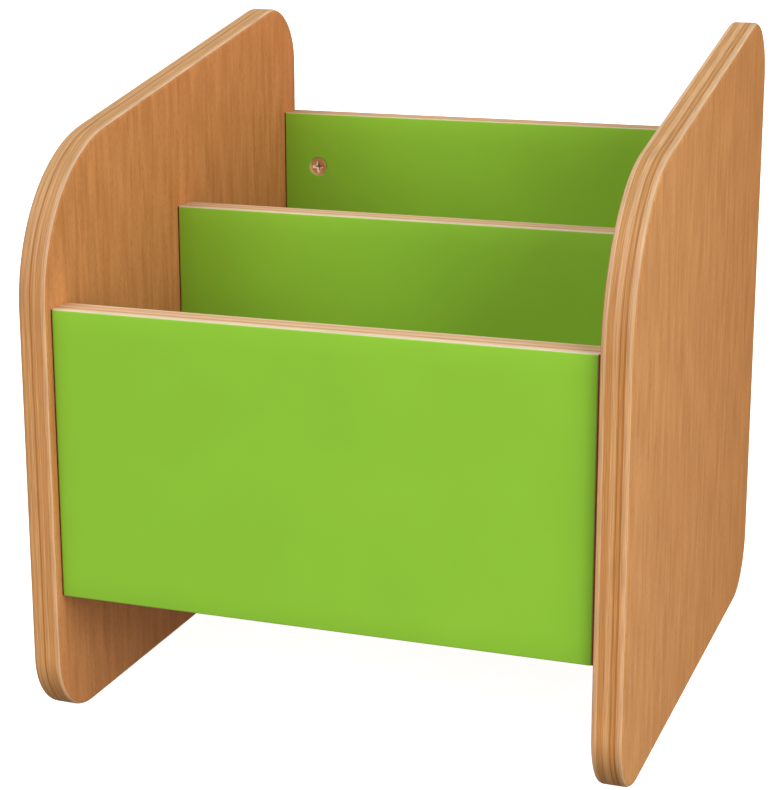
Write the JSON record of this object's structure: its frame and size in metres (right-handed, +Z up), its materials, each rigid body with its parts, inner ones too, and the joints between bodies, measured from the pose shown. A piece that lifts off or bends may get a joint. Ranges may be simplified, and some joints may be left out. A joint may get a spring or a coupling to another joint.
{
  "type": "picture book browser bin",
  "caption": "Free-standing picture book browser bin: shaped beech plywood sides joined by green-faced cross panels that step up to the back, over a raised base board.",
  "frame": {"origin": "on the floor, under the middle of the bin", "axes": "+X to the right across the bin seen from the front, +Y from the front to the back, +Z up"},
  "size_m": [0.36, 0.38, 0.4],
  "materials": {
    "beech_plywood": "beech-faced plywood in clear satin lacquer, ply layers on the edges",
    "panel_plywood": "plywood core, clear-lacquered square edges",
    "green_laminate": "smooth semi-matt leaf green high-pressure laminate",
    "bronzed_metal": "bronzed die-cast cam, worn bright on its recess",
    "bolt_steel": "zinc-plated steel",
    "dowel_beech": "raw beech"
  },
  "bodies": {
    "root": {"side_panel_left": "beech_plywood", "side_panel_right": "beech_plywood", "front_panel_core": "panel_plywood", "front_panel_front_laminate": "green_laminate", "front_panel_rear_laminate": "green_laminate", "front_panel_cam_locks": "bronzed_metal", "front_panel_cam_bolts": "bolt_steel", "front_panel_dowels": "dowel_beech", "middle_panel_core": "panel_plywood", "middle_panel_front_laminate": "green_laminate", "middle_panel_rear_laminate": "green_laminate", "middle_panel_cam_locks": "bronzed_metal", "middle_panel_cam_bolts": "bolt_steel", "middle_panel_dowels": "dowel_beech", "back_panel_core": "panel_plywood", "back_panel_front_laminate": "green_laminate", "back_panel_rear_laminate": "green_laminate", "back_panel_cam_locks": "bronzed_metal", "back_panel_cam_bolts": "bolt_steel", "back_panel_dowels": "dowel_beech", "base_board": "beech_plywood", "base_board_cam_locks": "bronzed_metal", "base_board_cam_bolts": "bolt_steel", "base_board_dowels": "dowel_beech", "divider_dowels": "dowel_beech"}
  },
  "joints": []
}
